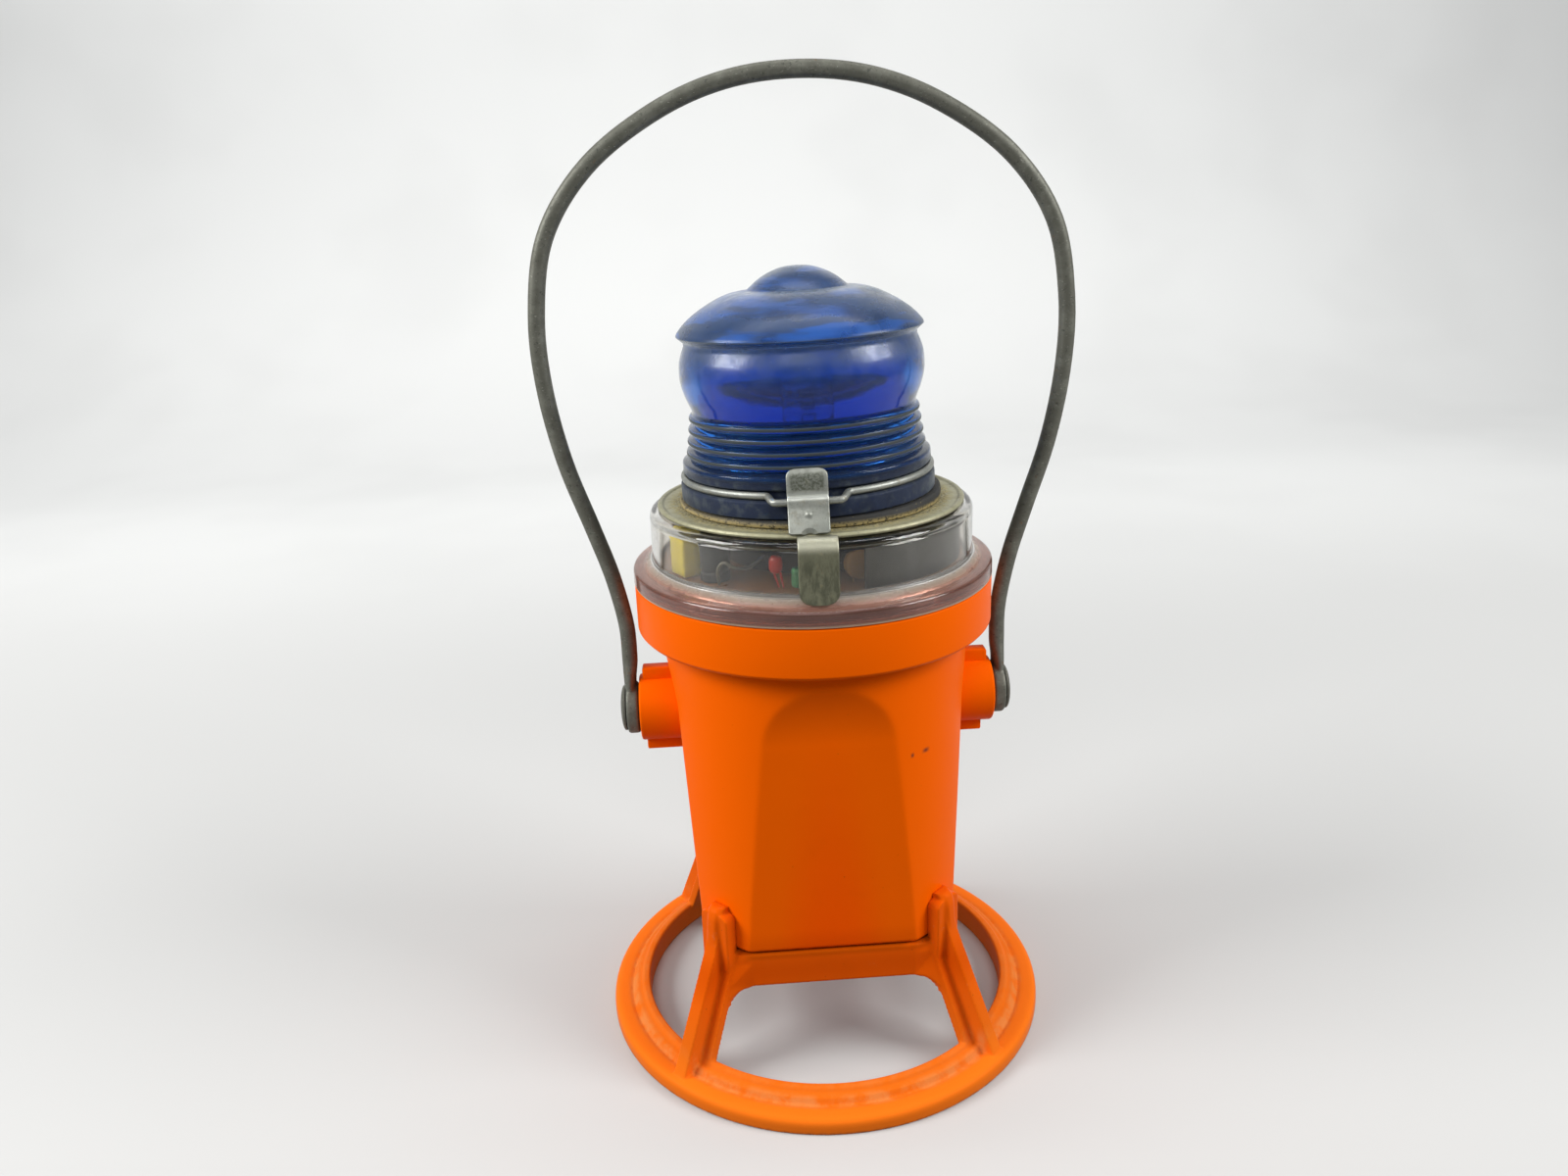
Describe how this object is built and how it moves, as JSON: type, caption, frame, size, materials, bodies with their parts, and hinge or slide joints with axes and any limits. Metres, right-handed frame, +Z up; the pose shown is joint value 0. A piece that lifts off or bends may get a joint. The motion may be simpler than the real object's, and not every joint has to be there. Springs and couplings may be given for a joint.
{
  "type": "portable battery signal lantern",
  "caption": "Portable battery signal lantern with a ribbed blue glass lens on a clear head, square orange case, ring stand with splayed legs and a tall wire bail.",
  "frame": {"origin": "on the resting plane, under the middle of the stand's ring", "axes": "+Z up along the lantern's axis, -Y towards the front, where the lens latch is, +X to the right seen from the front"},
  "size_m": [0.1546, 0.141, 0.2867],
  "materials": {
    "stand_plastic": "satin orange moulded plastic, scuffed on the ring",
    "case_plastic": "satin orange moulded plastic",
    "clear_plastic": "clear moulded plastic, lightly scratched",
    "blue_glass": "cobalt blue pressed glass, dusty on its ribs",
    "bulb_glass": "clear glass",
    "bail_steel": "weathered grey-green plated steel wire",
    "zinc": "dull zinc-plated spring steel",
    "seat_zinc": "dull zinc plate with yellow-brown dirt",
    "spring_brass": "dull brass",
    "black_rubber": "matt black rubber",
    "pale_rubber": "matt grey-beige rubber",
    "black_plastic": "matt black plastic",
    "shield_plastic": "dark grey plastic strip",
    "battery_wrap": "dark blue card and plastic jacket",
    "board_laminate": "brown paper-phenolic board",
    "yellow_resin": "yellow dipped resin",
    "red_resin": "red dipped resin",
    "green_resin": "green lacquer",
    "tan_resin": "tan ceramic",
    "lead_insulation": "pale wire insulation"
  },
  "bodies": {
    "body": {"stand": "stand_plastic", "case": "case_plastic", "battery": "battery_wrap", "battery_spring_centre": "spring_brass", "battery_spring_corner": "spring_brass", "bail_rivet_right": "bail_steel", "bail_rivet_left": "bail_steel", "rivet_burr_right": "zinc", "rivet_burr_left": "zinc"},
    "bail": {"bail": "bail_steel"},
    "head": {"clear_cover": "clear_plastic", "cover_gasket": "pale_rubber", "seat_ring": "seat_zinc", "lens_gasket": "black_rubber", "circuit_board": "board_laminate", "board_ring": "black_plastic", "flasher_module": "black_plastic", "shield_band": "shield_plastic", "lamp_socket": "black_plastic", "lamp_bulb": "bulb_glass", "film_capacitor": "yellow_resin", "can_capacitor": "black_plastic", "bead_capacitor": "red_resin", "resistor": "green_resin", "disc_capacitor": "tan_resin", "lamp_lead": "lead_insulation", "contact_centre": "spring_brass", "contact_arc": "spring_brass"},
    "lens_unit": {"lens": "blue_glass", "lens_wire": "zinc"},
    "latch": {"latch": "zinc"}
  },
  "joints": [
    {"name": "bail_swing", "type": "hinge", "parent": "body", "child": "bail", "pos_m": [0, 0, 0.1043], "axis": [1, 0, 0], "range_deg": [-120, 120]},
    {"name": "cover_turn", "type": "hinge", "parent": "body", "child": "head", "pos_m": [0, 0, 0.1476], "axis": [0, 0, 1], "range_deg": [0, 40]},
    {"name": "lens_tilt", "type": "hinge", "parent": "head", "child": "lens_unit", "pos_m": [0.00238, 0.03929, 0.1767], "axis": [-0.9967, 0.0767, -0.0262], "range_deg": [0, 100]},
    {"name": "latch_swing", "type": "hinge", "parent": "lens_unit", "child": "latch", "pos_m": [-0.00366, -0.03927, 0.1767], "axis": [-0.9967, 0.0767, -0.0262], "range_deg": [0, 18]}
  ]
}
